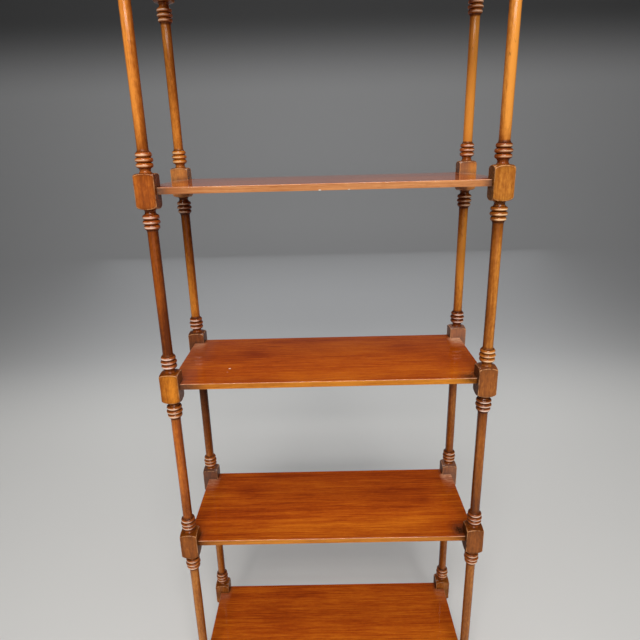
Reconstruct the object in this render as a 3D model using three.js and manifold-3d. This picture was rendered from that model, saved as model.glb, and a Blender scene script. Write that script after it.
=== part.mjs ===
// A tall free-standing mahogany etagere: five fixed shelves carried on four turned corner posts.
//
// Each post is a stack of separate turned lengths. One length is a square block, a ring turning, a plain
// round shaft and a second ring turning, and it ends in a round tenon that goes up into the underside of the
// next block. A foot closes each stack at the floor and a finial block closes it at the top.
// Each shelf has its four corners notched. The edges of the notch are a tongue, set down a little from the
// upper face, and the tongue sits in a housing that is cut round the inner corner of the block. A blind dowel
// pins each corner of each shelf to its block.
//
// Units are millimetres, +Z is up, +X is to the right and -Y is the front.
// The origin is the middle of the footprint, on the floor.

import * as THREE from "three";
import { mergeVertices } from "three/addons/utils/BufferGeometryUtils.js";
import Module from "manifold-3d";

// ---------- driving dimensions ----------

const POST_X = 326; // post axis to the middle plane, left and right
const POST_Y = 126; // post axis to the middle plane, front and back
const BLOCK = 38; // side of the square blocks
const LEVEL_1 = 138; // height of the lowest block's centre
const PITCH = 396.2; // from one block's centre to the next
const LEVELS = 5;

const SHELF_HALF_X = 330.5; // shelf, half its length
const SHELF_HALF_Y = 133; // shelf, half its depth
const SHELF_TOP = 7.1; // shelf's upper face above the block's centre
const SHELF_T = 12.7; // shelf's thickness

const HOUSING = 6; // how deep a shelf's edge goes into a block
const TONGUE_STEP = 0.8; // the housed edge is set down this far from the shelf's upper face
const GAP = 0.3; // running gap left at every glued or pushed joint

const SHAFT_R = 10.4; // plain round part of a post
const BEAD_NEAR_R = 15.8; // bead next to the block
const BEAD_MID_R = 16.6; // middle bead of a ring turning
const BEAD_FAR_R = 15.1; // bead next to the shaft
const GROOVE_R = 12.2; // between the beads
const NECK_R = 10; // waist between a ring turning and its block
const DOME_TOP = 33; // where the turned shoulder of a block meets the neck

const TENON_R = 6; // round tenon on the top end of each post length and foot
const TENON_L = 16;

const DOWEL_R = 3; // blind dowel at each shelf corner
const DOWEL_L = 30;
const DOWEL_Z = SHELF_TOP - SHELF_T / 2; // in the middle of the shelf's thickness
const DOWEL_Y = SHELF_HALF_Y - POST_Y - 9; // past the post's axis, inside the tongue of the shelf

const ROUND = 12; // sides of a turned surface

const MAHOGANY_POST = { color: 0x8c4a1c, roughness: 0.32, metalness: 0 };
const MAHOGANY_SHELF = { color: 0xa04a14, roughness: 0.24, metalness: 0 };
const BEECH = { color: 0xc79a66, roughness: 0.7, metalness: 0 };

// ---------- solids from three.js geometry ----------

const wasm = await Module();
wasm.setup();

// A closed three.js geometry as a solid, facing out.
function solid(geometry) {
  const g = geometry.clone();
  g.deleteAttribute("normal");
  g.deleteAttribute("uv");
  const merged = mergeVertices(g, 1e-4);
  const index = merged.index.array;
  const kept = [];
  for (let i = 0; i < index.length; i += 3) {
    const [a, b, c] = [index[i], index[i + 1], index[i + 2]];
    if (a !== b && b !== c && c !== a) kept.push(a, b, c);
  }
  const make = (triangles) =>
    new wasm.Manifold(
      new wasm.Mesh({
        numProp: 3,
        vertProperties: new Float32Array(merged.attributes.position.array),
        triVerts: new Uint32Array(triangles),
      }),
    );
  const made = make(kept);
  if (made.volume() > 0) return made;
  for (let i = 0; i < kept.length; i += 3)
    [kept[i + 1], kept[i + 2]] = [kept[i + 2], kept[i + 1]];
  return make(kept);
}

// A solid back as a three.js geometry.
function geometryOf(made) {
  const mesh = made.getMesh();
  const n = mesh.numProp;
  const position = new Float32Array(mesh.numVert * 3);
  for (let i = 0; i < mesh.numVert; i++)
    position.set(mesh.vertProperties.subarray(i * n, i * n + 3), i * 3);
  const g = new THREE.BufferGeometry();
  g.setAttribute("position", new THREE.BufferAttribute(position, 3));
  g.setIndex(new THREE.BufferAttribute(new Uint32Array(mesh.triVerts), 1));
  const flat = g.toNonIndexed();
  flat.computeVertexNormals();
  return flat;
}

// A box between two corners.
function box(x0, y0, z0, x1, y1, z1) {
  const g = new THREE.BoxGeometry(
    Math.abs(x1 - x0),
    Math.abs(y1 - y0),
    Math.abs(z1 - z0),
  );
  g.translate((x0 + x1) / 2, (y0 + y1) / 2, (z0 + z1) / 2);
  return solid(g);
}

// A turned solid: [radius, height] pairs from the bottom to the top, closed on the axis.
function turned(profile, sides = ROUND) {
  const points = profile.map(([r, z]) => new THREE.Vector2(r, z));
  const first = points[0];
  const last = points[points.length - 1];
  if (first.x > 0) points.unshift(new THREE.Vector2(0, first.y));
  if (last.x > 0) points.push(new THREE.Vector2(0, last.y));
  const g = new THREE.LatheGeometry(points, sides);
  g.rotateX(Math.PI / 2);
  return solid(g);
}

// A round bar along X or along Z.
function barX(r, x0, x1, y, z, sides = 8) {
  const g = new THREE.CylinderGeometry(r, r, Math.abs(x1 - x0), sides);
  g.rotateZ(Math.PI / 2);
  g.translate((x0 + x1) / 2, y, z);
  return solid(g);
}

function barZ(r, z0, z1, sides = ROUND) {
  const g = new THREE.CylinderGeometry(r, r, z1 - z0, sides);
  g.rotateX(Math.PI / 2);
  g.translate(0, 0, (z0 + z1) / 2);
  return solid(g);
}

// ---------- turned profiles, heights measured from a block's centre ----------

// From the block's shoulder outwards: neck, three beads, small fillet.
const RING_TURNING = [
  [NECK_R + 1.4, DOME_TOP + 0.2],
  [NECK_R, 36.9],
  [GROOVE_R - 0.4, 41.8],
  [BEAD_NEAR_R, 46.5],
  [GROOVE_R, 51.2],
  [BEAD_MID_R, 55.9],
  [GROOVE_R, 60.6],
  [BEAD_FAR_R, 65.2],
  [SHAFT_R, 72.6],
];

// The rounded shoulder that the lathe leaves on the end of a square block.
const SHOULDER = [
  [28.4, 21.6],
  [25.0, 26.2],
  [19.4, 30.9],
  [NECK_R + 1.4, DOME_TOP],
];

// A square block with both shoulders turned, centred on its own axis.
function blockSolid() {
  const up = SHOULDER;
  const down = SHOULDER.map(([r, z]) => [r, -z]).reverse();
  const shape = turned([...down, ...up]);
  const h = BLOCK / 2;
  return shape.intersect(box(-h, -h, -40, h, h, 40));
}

// What is cut from a block at corner (sx, sy): the shelf's housing and the dowel's hole.
function blockCuts(sx, sy) {
  const inner = BLOCK / 2; // towards the middle of the etagere
  const zTop = SHELF_TOP - TONGUE_STEP + GAP;
  const zBottom = SHELF_TOP - SHELF_T - GAP;
  const outX = SHELF_HALF_X - POST_X + GAP; // the shelf's end, past the post's axis
  const outY = SHELF_HALF_Y - POST_Y + GAP;
  const deep = inner - HOUSING - GAP;
  const alongY = box(
    -sx * (inner + 2),
    -sy * (inner + 2),
    zBottom,
    -sx * deep,
    sy * outY,
    zTop,
  );
  const alongX = box(
    -sx * (inner + 2),
    -sy * (inner + 2),
    zBottom,
    sx * outX,
    -sy * deep,
    zTop,
  );
  const hole = barX(
    DOWEL_R + GAP,
    -sx * (inner - 1),
    sx * (-deep + DOWEL_L / 2 + 0.6),
    sy * DOWEL_Y,
    DOWEL_Z,
  );
  return alongX.add(alongY).add(hole);
}

// The socket in a block's underside that takes the tenon from below.
const socket = () => barZ(TENON_R + GAP, -40, -DOME_TOP + TENON_L + 0.7);

// One post length: block, ring turning, shaft, ring turning, tenon.
function postLength(sx, sy) {
  const top = PITCH - DOME_TOP - GAP; // where the next block's shoulder starts
  const lower = RING_TURNING;
  const upper = RING_TURNING.map(([r, z]) => [r, PITCH - z]).reverse();
  const spindle = turned([
    [NECK_R + 1.4, DOME_TOP - 4],
    ...lower,
    ...upper.slice(0, -1),
    [NECK_R + 1.4, top],
    [TENON_R, top],
    [TENON_R, top + TENON_L],
  ]);
  return blockSolid()
    .add(spindle)
    .subtract(socket())
    .subtract(blockCuts(sx, sy));
}

// The top block with its finial.
function finialBlock(sx, sy) {
  const finial = turned([
    [NECK_R + 1.4, DOME_TOP - 4],
    [NECK_R + 1.4, DOME_TOP + 0.2],
    [NECK_R, 37.4],
    [NECK_R + 1.4, 41.6],
    [14.2, 45.6],
    [8.2, 52.0],
    [12.6, 56.0],
    [15.4, 62.6],
    [12.0, 70.0],
    [4.4, 75.4],
    [4.9, 78.6],
    [3.0, 81.4],
  ]);
  return blockSolid()
    .add(finial)
    .subtract(socket())
    .subtract(blockCuts(sx, sy));
}

// A foot, from the floor up to its tenon.
function footSolid() {
  const floor = -LEVEL_1;
  const turning = RING_TURNING.slice(0, -1)
    .map(([r, z]) => [r, -z])
    .reverse();
  return turned([
    [10.4, floor],
    [11.6, floor + 2.4],
    [13.4, floor + 20],
    [17.0, floor + 42],
    [18.2, floor + 50],
    [12.0, floor + 62],
    ...turning.slice(0, -1),
    [NECK_R + 1.4, -DOME_TOP - GAP],
    [TENON_R, -DOME_TOP - GAP],
    [TENON_R, -DOME_TOP - GAP + TENON_L],
  ]);
}

// A board with square notches at its corners: the notches start nx and ny from the middle.
function notchedBoard(nx, ny, zBottom, zTop) {
  const outline = new THREE.Shape(
    [
      [nx, -SHELF_HALF_Y],
      [nx, -ny],
      [SHELF_HALF_X, -ny],
      [SHELF_HALF_X, ny],
      [nx, ny],
      [nx, SHELF_HALF_Y],
      [-nx, SHELF_HALF_Y],
      [-nx, ny],
      [-SHELF_HALF_X, ny],
      [-SHELF_HALF_X, -ny],
      [-nx, -ny],
      [-nx, -SHELF_HALF_Y],
    ].map(([x, y]) => new THREE.Vector2(x, y)),
  );
  const g = new THREE.ExtrudeGeometry(outline, {
    depth: zTop - zBottom,
    bevelEnabled: false,
  });
  g.translate(0, 0, zBottom);
  return solid(g);
}

// A shelf with its four corners notched and bored for the dowels. Its upper face stops just short of the
// blocks, and below that face the tongue goes on into them.
function shelfSolid() {
  const bottom = SHELF_TOP - SHELF_T;
  const nx = POST_X - BLOCK / 2 + HOUSING;
  const ny = POST_Y - BLOCK / 2 + HOUSING;
  const short = HOUSING + GAP;
  let board = notchedBoard(nx, ny, bottom, SHELF_TOP - TONGUE_STEP).add(
    notchedBoard(nx - short, ny - short, bottom, SHELF_TOP),
  );
  for (const sx of [-1, 1])
    for (const sy of [-1, 1])
      board = board.subtract(
        barX(
          DOWEL_R + GAP,
          sx * (nx - DOWEL_L / 2 - 0.3),
          sx * (nx + 1),
          sy * (POST_Y + DOWEL_Y),
          DOWEL_Z,
        ),
      );
  return board;
}

// ---------- the scene ----------

const etagere = new THREE.Group();

function add(name, made, finish, x, y, z) {
  const mesh = new THREE.Mesh(
    made,
    new THREE.MeshStandardMaterial({ ...finish, name }),
  );
  mesh.name = name;
  mesh.position.set(x, y, z);
  etagere.add(mesh);
}

const CORNERS = [
  ["front_left", -1, -1],
  ["front_right", 1, -1],
  ["back_left", -1, 1],
  ["back_right", 1, 1],
];
const height = (level) => LEVEL_1 + (level - 1) * PITCH;

const footGeometry = geometryOf(footSolid());
const shelfGeometry = geometryOf(shelfSolid());

for (const [corner, sx, sy] of CORNERS) {
  const x = sx * POST_X;
  const y = sy * POST_Y;
  add("foot_" + corner, footGeometry, MAHOGANY_POST, x, y, LEVEL_1);
  const length = geometryOf(postLength(sx, sy));
  for (let level = 1; level < LEVELS; level++)
    add(
      "post_" + corner + "_" + level,
      length,
      MAHOGANY_POST,
      x,
      y,
      height(level),
    );
  add(
    "finial_" + corner,
    geometryOf(finialBlock(sx, sy)),
    MAHOGANY_POST,
    x,
    y,
    height(LEVELS),
  );
}

for (let level = 1; level <= LEVELS; level++) {
  add("shelf_" + level, shelfGeometry, MAHOGANY_SHELF, 0, 0, height(level));
  for (const [corner, sx, sy] of CORNERS) {
    const mid = sx * (POST_X - BLOCK / 2 + HOUSING + GAP / 2);
    const dowel = new THREE.CylinderGeometry(DOWEL_R, DOWEL_R, DOWEL_L, 8);
    dowel.rotateZ(Math.PI / 2);
    add(
      "dowel_" + level + "_" + corner,
      dowel,
      BEECH,
      mid,
      sy * (POST_Y + DOWEL_Y),
      height(level) + DOWEL_Z,
    );
  }
}

export default etagere;
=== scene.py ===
import math

import bpy
import numpy as np
from mathutils import Matrix, Vector, noise


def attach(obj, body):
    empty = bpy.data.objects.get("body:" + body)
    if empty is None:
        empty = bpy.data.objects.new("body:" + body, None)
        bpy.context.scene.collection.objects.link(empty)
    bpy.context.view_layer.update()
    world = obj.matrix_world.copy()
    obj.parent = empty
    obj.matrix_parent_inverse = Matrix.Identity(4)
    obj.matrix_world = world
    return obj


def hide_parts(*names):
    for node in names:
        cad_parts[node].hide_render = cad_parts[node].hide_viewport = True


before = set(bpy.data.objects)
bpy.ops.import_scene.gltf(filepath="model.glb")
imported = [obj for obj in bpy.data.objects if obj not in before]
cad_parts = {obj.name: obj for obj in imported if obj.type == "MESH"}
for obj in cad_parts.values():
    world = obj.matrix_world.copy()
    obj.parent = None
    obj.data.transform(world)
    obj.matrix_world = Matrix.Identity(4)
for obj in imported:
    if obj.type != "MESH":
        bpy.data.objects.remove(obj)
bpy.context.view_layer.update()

# ---------------------------------------------------------------- dimensions, millimetres
POST_X, POST_Y, BLOCK = 326.0, 126.0, 38.0
LEVEL_1, PITCH, LEVELS = 138.0, 396.2, 5
HX, HY = 330.5, 133.0  # shelf, half length and half depth
TOP, THICK = 7.1, 12.7  # shelf's upper face above the block's centre, and its thickness
HOUSING, GAP = 6.0, 0.3
TONGUE_STEP = 0.8  # the housed edge of a shelf is set down this far
SHAFT_R, GROOVE_R, NECK_R = 10.4, 12.0, 10.0
BEAD_NEAR_R, BEAD_MID_R, BEAD_FAR_R = 15.8, 16.6, 15.1  # counted from the block
TENON_R, TENON_L = 6.0, 16.0
DOWEL_R, DOWEL_L = 3.0, 30.0
DOWEL_Y = HY - POST_Y - 9
DOWEL_Z = TOP - THICK / 2
NX, NY = POST_X - BLOCK / 2 + HOUSING, POST_Y - BLOCK / 2 + HOUSING

CORNERS = [
    ("front_left", -1, -1),
    ("front_right", 1, -1),
    ("back_left", -1, 1),
    ("back_right", 1, 1),
]


def height(level):
    return LEVEL_1 + (level - 1) * PITCH


# ---------------------------------------------------------------- camera, at the photograph's viewing angle
F_PX = 527.72
yaw, pitch, roll = math.radians(-0.570), math.radians(18.228), math.radians(-1.468)
fwd = Vector(
    (math.sin(yaw) * math.cos(pitch), math.cos(yaw) * math.cos(pitch), -math.sin(pitch))
)
right = Vector((math.cos(yaw), -math.sin(yaw), 0))
up = right.cross(fwd)
cam_x = right * math.cos(roll) + up * math.sin(roll)
cam_y = up * math.cos(roll) - right * math.sin(roll)
cam_data = bpy.data.cameras.new("camera")
cam = bpy.data.objects.new("camera", cam_data)
bpy.context.scene.collection.objects.link(cam)
cam.matrix_world = Matrix(
    (
        (cam_x.x, cam_y.x, -fwd.x, -0.0036),
        (cam_x.y, cam_y.y, -fwd.y, -1.1275),
        (cam_x.z, cam_y.z, -fwd.z, 1.3985),
        (0, 0, 0, 1),
    )
)
cam_data.sensor_width = 36
cam_data.lens = F_PX / 640 * 36
cam_data.clip_start, cam_data.clip_end = 0.01, 50
bpy.context.scene.camera = cam

# ---------------------------------------------------------------- mesh helpers


def new_object(name, verts, faces):
    """Vertices in millimetres in the row frame; the object itself stays at the origin, in metres."""
    me = bpy.data.meshes.new(name)
    me.from_pydata([tuple(c * 0.001 for c in v) for v in verts], [], faces)
    me.validate()
    me.update()
    ob = bpy.data.objects.new(name, me)
    bpy.context.scene.collection.objects.link(ob)
    return ob


def applied(ob):
    """Puts the result of the object's modifiers in its mesh."""
    bpy.context.view_layer.update()
    dg = bpy.context.evaluated_depsgraph_get()
    me = bpy.data.meshes.new_from_object(ob.evaluated_get(dg))
    old = ob.data
    ob.modifiers.clear()
    ob.data = me
    bpy.data.meshes.remove(old)
    return ob


def cut(ob, cutters):
    """Cuts the closed cutters from ob."""
    for c in cutters:
        m = ob.modifiers.new("cut", "BOOLEAN")
        m.operation = "DIFFERENCE"
        m.solver = "EXACT"
        m.object = c
    applied(ob)
    for c in cutters:
        me = c.data
        bpy.data.objects.remove(c)
        bpy.data.meshes.remove(me)
    return ob


def shade(ob, angle=38):
    """Smooth, with the sharp edges kept sharp and the flats kept flat."""
    me = ob.data
    me.polygons.foreach_set("use_smooth", [True] * len(me.polygons))
    me.set_sharp_from_angle(angle=math.radians(angle))
    m = ob.modifiers.new("flats", "WEIGHTED_NORMAL")
    m.keep_sharp = True
    m.weight = 60
    applied(ob)
    return ob


def revolve(rows, thetas):
    """rows: a list of lists of (r, z) per column, or one (r, z) for the same on every column. Closed on the axis at both ends."""
    n = len(thetas)
    verts, faces = [], []
    cs = [(math.cos(t), math.sin(t)) for t in thetas]
    z0 = rows[0][0][1] if isinstance(rows[0], list) else rows[0][1]
    verts.append((0, 0, z0))
    for row in rows:
        for k in range(n):
            r, z = row[k] if isinstance(row, list) else row
            verts.append((r * cs[k][0], r * cs[k][1], z))
    z1 = rows[-1][0][1] if isinstance(rows[-1], list) else rows[-1][1]
    verts.append((0, 0, z1))
    last = len(verts) - 1
    for k in range(n):
        faces.append((0, 1 + (k + 1) % n, 1 + k))
    for i in range(len(rows) - 1):
        a, b = 1 + i * n, 1 + (i + 1) * n
        for k in range(n):
            k2 = (k + 1) % n
            faces.append((a + k, a + k2, b + k2, b + k))
    a = 1 + (len(rows) - 1) * n
    for k in range(n):
        faces.append((a + k, a + (k + 1) % n, last))
    return verts, faces


def box_like(outline, z0, z1):
    """A closed prism on an anticlockwise outline."""
    n = len(outline)
    verts = [(x, y, z0) for x, y in outline] + [(x, y, z1) for x, y in outline]
    faces = [tuple(reversed(range(n))), tuple(range(n, 2 * n))]
    for k in range(n):
        k2 = (k + 1) % n
        faces.append((k, k2, n + k2, n + k))
    return verts, faces


def rod_x(r, x0, x1, y, z, n=24):
    verts = []
    for x in (x0, x1):
        for k in range(n):
            a = 2 * math.pi * k / n
            verts.append((x, y + r * math.cos(a), z + r * math.sin(a)))
    faces = [tuple(reversed(range(n))), tuple(range(n, 2 * n))]
    for k in range(n):
        k2 = (k + 1) % n
        faces.append((k, k2, n + k2, n + k))
    return verts, faces


def rnd(*key):
    """A repeatable number from 0 to 1."""
    h = 2166136261
    for ch in "/".join(str(k) for k in key):
        h = ((h ^ ord(ch)) * 16777619) & 0xFFFFFFFF
    h ^= h >> 15
    h = (h * 2246822519) & 0xFFFFFFFF
    h ^= h >> 13
    return h / 4294967296.0


def wobble(x, seed, scale=1.0):
    """Smooth repeatable noise from about -1 to 1."""
    return noise.noise(Vector((x * scale, seed * 17.3, 4.7))) * 1.6


# ---------------------------------------------------------------- turned shapes

H = BLOCK / 2
RC = 1.0  # how far the long arrises of a block are eased


def block_columns():
    """Angle and distance from the axis of each column of a square block with eased arrises."""
    flat = [-(H - RC), -(H - RC - 0.9), -16.0, -14.6, -12.4, -8.4, -4.2, 0.0]
    flat += [-t for t in reversed(flat[:-1])]
    pts = []
    for side in range(4):
        c, s = math.cos(side * math.pi / 2), math.sin(side * math.pi / 2)
        ring = [(H, t) for t in flat]
        for k in (1, 2, 3):
            a = math.radians(22.5 * k)
            ring.append((H - RC + RC * math.cos(a), H - RC + RC * math.sin(a)))
        pts += [(x * c - y * s, x * s + y * c) for x, y in ring]
    return [math.atan2(y, x) for x, y in pts], [math.hypot(x, y) for x, y in pts]


THETA, REACH = block_columns()


def shoulder_z(r, drop):
    """Height of the turned shoulder over the block's centre at a distance r from the axis; drop says how round it is."""
    t = min(0.9995, max(0.0, (r - 11.5) / 15.75))
    return 33.0 - drop * (1 - math.sqrt(1 - t * t))


# the turner's hand: how round each block's upper and lower shoulders are
SHOULDERS = {
    "post_front_left_4": (6.8, 10.8),
    "post_front_right_4": (11.2, 11.4),
    "post_front_left_3": (6.6, 10.6),
    "post_front_right_3": (8.8, 10.0),
    "post_back_left_4": (7.2, 10.4),
    "post_back_right_4": (10.4, 11.0),
    "post_back_left_3": (9.0, 10.0),
    "post_back_right_3": (8.6, 10.0),
}


def shoulders(node):
    return SHOULDERS.get(
        node, (7.5 + 3.8 * rnd(node, "over"), 9.4 + 2.2 * rnd(node, "under"))
    )


SHOULDER_STEPS = [0.0, 0.13, 0.27, 0.41, 0.54, 0.66, 0.77, 0.86, 0.93]
EASE = 0.7  # how far the arris between shoulder and flat is eased


def shoulder_rows(sign, drop):
    """The rows from the neck out to the flat side, the eased arris included. sign -1 is the block's underside."""

    def zs(r):
        return shoulder_z(r, drop)

    rows = []
    for t in SHOULDER_STEPS:
        rows.append(
            [
                (11.5 + (s - 11.5) * t, sign * zs(11.5 + (s - 11.5) * t))
                for s in REACH
            ]
        )
    arris = [[], [], [], []]
    for s in REACH:
        zc = zs(s)
        before = (s - EASE, zs(s - EASE))
        after = (s, zc - EASE * 1.25)
        for k, t in enumerate((0.0, 0.34, 0.67, 1.0)):
            r = (
                (1 - t) ** 2 * before[0]
                + 2 * t * (1 - t) * (s - 0.05)
                + t * t * after[0]
            )
            z = (
                (1 - t) ** 2 * before[1]
                + 2 * t * (1 - t) * (zc - 0.05)
                + t * t * after[1]
            )
            arris[k].append((r, sign * z))
    rows += arris
    for inward in (0.9, 2.0, 3.6):
        rows.append([(s, sign * (zs(s) - EASE * 1.25 - inward)) for s in REACH])
    return rows


def block_rows(node):
    """The block from the joint under it to the top of its upper shoulder."""
    over, under = shoulders(node)
    under = shoulder_rows(-1, under)
    over = shoulder_rows(1, over)
    rows = [(TENON_R + GAP, -33.0 + TENON_L + 0.7), (TENON_R + GAP, -33.0)]
    rows += under
    lo, hi = under[-1], over[-1]
    for t in (0.2, 0.4, 0.6, 0.8):
        rows.append([(a[0], a[1] + (b[1] - a[1]) * t) for a, b in zip(lo, hi)])
    rows += list(reversed(over))
    return rows


def bead(z0, z1, radius, groove, steps=12):
    """A bead between two heights, its flanks sloping into the grooves."""
    zc, hw = (z0 + z1) / 2, (z1 - z0) / 2
    out = []
    for k in range(steps + 1):
        a = -math.pi / 2 + math.pi * k / steps
        c = max(0.0, math.cos(a)) ** 0.85
        z = zc + hw * (0.6 * math.sin(a) + 0.4 * a / (math.pi / 2))
        out.append((groove + (radius - groove) * c, z))
    return out


def ring_turning(seed):
    """From the shoulder out: fillet, cove, three beads, fillet, cavetto. No two are quite alike."""
    d = [(rnd(seed, k) - 0.5) for k in range(6)]
    r1, r2, r3 = (
        BEAD_NEAR_R + 0.4 * d[0],
        BEAD_MID_R + 0.3 * d[1],
        BEAD_FAR_R + 0.4 * d[2],
    )
    e0, e3 = 41.9 + 0.8 * d[3], 69.9 - 0.8 * abs(d[4])
    e1 = e0 + (e3 - e0) * (0.335 + 0.02 * d[5])
    e2 = e0 + (e3 - e0) * (0.668 + 0.02 * d[0])
    g = GROOVE_R + 0.3 * d[5]
    rows = [
        (11.45, 33.05),
        (11.45, 34.1),
        (10.8, 34.7),
        (10.25, 35.7),
        (NECK_R, 37.0),
        (10.1, 38.5),
        (10.6, 40.0),
        (11.4, 41.0),
        (11.6, e0 - 0.2),
    ]
    rows += bead(e0, e1, r1, g)
    rows += bead(e1 + 0.2, e2, r2, g)
    rows += bead(e2 + 0.2, e3, r3, g)
    rows += [
        (11.6, e3 + 0.3),
        (11.6, e3 + 1.4),
        (10.9, e3 + 2.0),
        (SHAFT_R + 0.12, 73.4),
        (SHAFT_R, 75.4),
    ]
    return rows


def post_rows(seed):
    rows = block_rows(seed)
    lower = ring_turning(seed + "low")
    upper = [(r, PITCH - z) for r, z in reversed(ring_turning(seed + "high"))]
    rows += lower
    z0, z1 = lower[-1][1], upper[0][1]
    for k in range(1, 12):
        z = z0 + (z1 - z0) * k / 12
        rows.append((SHAFT_R + 0.09 * wobble(z, rnd(seed, "shaft"), 0.02), z))
    rows += upper[:-1]
    end = PITCH - 33.0 - GAP
    rows += [
        (11.45, end),
        (TENON_R, end),
        (TENON_R, end + TENON_L - 1.0),
        (TENON_R - 1.0, end + TENON_L),
    ]
    return rows


def finial_rows(seed):
    rows = block_rows(seed)
    rows += [
        (11.45, 33.05),
        (11.45, 34.2),
        (10.75, 34.9),
        (10.25, 36.0),
        (NECK_R, 37.6),
        (10.3, 39.4),
        (11.2, 41.0),
    ]
    rows += bead(41.4, 49.4, 14.4, 11.6)
    rows += [(10.2, 49.9), (9.0, 50.8), (8.3, 52.0), (8.5, 53.3), (9.4, 54.4)]
    # the ball, then the button on top of it
    zc, rb = 63.2, 15.5
    for k in range(2, 17):
        a = math.radians(-62 + 133 * (k - 2) / 14)
        rows.append((rb * math.cos(a), zc + 10.6 * math.sin(a)))
    rows += [
        (4.6, 74.3),
        (4.3, 75.4),
        (4.6, 76.2),
        (5.0, 77.4),
        (4.8, 78.8),
        (4.0, 80.2),
        (2.6, 81.1),
        (1.2, 81.4),
    ]
    return rows


def foot_rows(seed):
    """From the floor up; heights from the lowest block's centre."""
    f = -LEVEL_1
    rows = [
        (9.6, f),
        (10.4, f + 0.5),
        (10.9, f + 1.6),
        (11.3, f + 4.0),
        (12.2, f + 12),
        (13.6, f + 22),
        (15.3, f + 33),
        (16.7, f + 42),
        (17.7, f + 47.5),
        (18.2, f + 51.0),
        (18.0, f + 54.0),
        (17.0, f + 56.6),
        (15.3, f + 58.6),
        (13.2, f + 60.2),
        (12.6, f + 61.0),
        (12.6, f + 62.6),
        (11.9, f + 63.4),
        (11.6, f + 65.0),
        (11.8, f + 66.4),
    ]
    ring = [
        (r, -z) for r, z in reversed(ring_turning(seed)) if z < 71 and (r, z) != (11.45, 33.05)
    ]
    rows += ring
    end = -33.0 - GAP
    rows += [
        (11.45, end),
        (TENON_R, end),
        (TENON_R, end + TENON_L - 1.0),
        (TENON_R - 1.0, end + TENON_L),
    ]
    return rows


def shift(verts, x, y, z):
    return [(a + x, b + y, c + z) for a, b, c in verts]


def block_cutters(sx, sy, x, y, z):
    """The shelf's housing round the inner corner of a block, and the dowel's hole."""
    inner, deep = H + 2, H - HOUSING - GAP
    ox, oy = HX - POST_X + GAP, HY - POST_Y + GAP
    outline = [
        (deep, -oy),
        (inner, -oy),
        (inner, inner),
        (-ox, inner),
        (-ox, deep),
        (deep, deep),
    ]
    outline = [(-sx * u, -sy * v) for u, v in outline]
    if sx * sy < 0:
        outline.reverse()
    v1, f1 = box_like(outline, TOP - THICK - GAP, TOP - TONGUE_STEP + GAP)
    xa, xb = -sx * (H - 1), -sx * (deep - DOWEL_L / 2 - 0.6)
    v2, f2 = rod_x(DOWEL_R + GAP, min(xa, xb), max(xa, xb), sy * DOWEL_Y, DOWEL_Z)
    return [
        new_object("cut_a", shift(v1, x, y, z), f1),
        new_object("cut_b", shift(v2, x, y, z), f2),
    ]


# ---------------------------------------------------------------- attributes the finishes read


def write_attributes(ob, grain, **floats):
    me = ob.data
    n = len(me.vertices)
    for name, values in floats.items():
        a = me.attributes.new(name, "FLOAT", "POINT")
        a.data.foreach_set("value", np.asarray(values, np.float32) * np.ones(n, np.float32))
    a = me.attributes.new("grain", "FLOAT_VECTOR", "POINT")
    a.data.foreach_set("vector", np.asarray(grain, np.float32).reshape(n * 3))


def coords(ob):
    co = np.zeros(len(ob.data.vertices) * 3, np.float32)
    ob.data.vertices.foreach_get("co", co)
    return co.reshape(-1, 3).astype(float)


def smooth01(v, lo, hi):
    t = np.clip((v - lo) / (hi - lo), 0, 1)
    return t * t * (3 - 2 * t)


def slopes(ob):
    """The vertex normals."""
    n = np.zeros(len(ob.data.vertices) * 3, np.float32)
    ob.data.vertices.foreach_get("normal", n)
    return n.reshape(-1, 3).astype(float)


# how much lighter or darker than the rest a turned piece is, partly its own tone and partly painted light and shade,
# lighter high up
# and darker just under the shelves: its block, then its shaft from the low end to the high end; and how ruddy the block
# and the shaft are
SHAFT_AT = (60, 120, 198, 270, 340)
PIECE_TONE = {
    "post_front_left_4": (-0.08, (-0.34, 0.08, 0.16, 0.2, 0.16), 0.8, 0.4),
    "post_front_right_4": (0.32, (0.3, 0.62, 0.6, 0.5, 0.5), 0.0, 0.1),
    "post_front_left_3": (-0.05, (-0.83, -0.8, -0.38, -0.42, -0.5), 0.45, 0.7),
    "post_front_right_3": (-0.04, (-0.04, -0.02, 0.0, 0.02, -0.42), 0.2, 0.05),
    "post_back_left_4": (0.3, (0.04, 0.0, 0.04, 0.06, 0.08), 0.2, 0.3),
    "post_back_right_4": (0.34, (0.8, 0.9, 0.8, 0.6, 0.5), 0.3, 0.1),
    "post_back_left_3": (-0.28, (0.26, 0.18, -0.06, -0.42, -0.56), 0.5, 0.3),
    "post_back_right_3": (0.3, (0.24, 0.24, 0.78, 0.3, -0.14), 0.75, 0.1),
    "post_front_left_2": (0.0, (0.02, 0.1, 0.04, -0.06, -0.14), 0.3, 0.9),
    "post_front_right_2": (-0.1, (-0.6, -0.32, -0.16, -0.18, -0.42), 0.2, 0.2),
    "post_back_left_2": (-0.42, (-0.12, -0.18, -0.26, -0.56, -0.95), 0.4, 0.4),
    "post_back_right_2": (-0.06, (-0.18, 0.06, 0.12, -0.34, -0.72), 0.4, 0.3),
}
# how deep and golden the colour of a piece is: its block, its shaft
DEPTH = {
    "post_front_left_4": (0.6, 0.0), "post_front_right_4": (0.45, 0.0), "post_front_left_3": (0.95, 0.0),
    "post_front_left_2": (0.5, 0.6), "post_front_right_2": (0.0, 0.2), "post_back_left_3": (0.0, 0.45),
    "post_back_right_3": (0.0, 0.3), "post_back_left_4": (0.0, 0.1), "post_back_right_4": (0.0, 0.1),
}
# painted reflection: a pale haze painted over some of the blocks, most of them at the back
FILM = {
    "post_back_left_4": 0.11, "post_back_right_4": 0.2, "post_back_left_3": 0.06, "post_back_right_3": 0.38,
    "post_back_left_2": 0.2, "post_back_right_2": 0.32, "post_front_right_3": 0.06,
}
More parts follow.
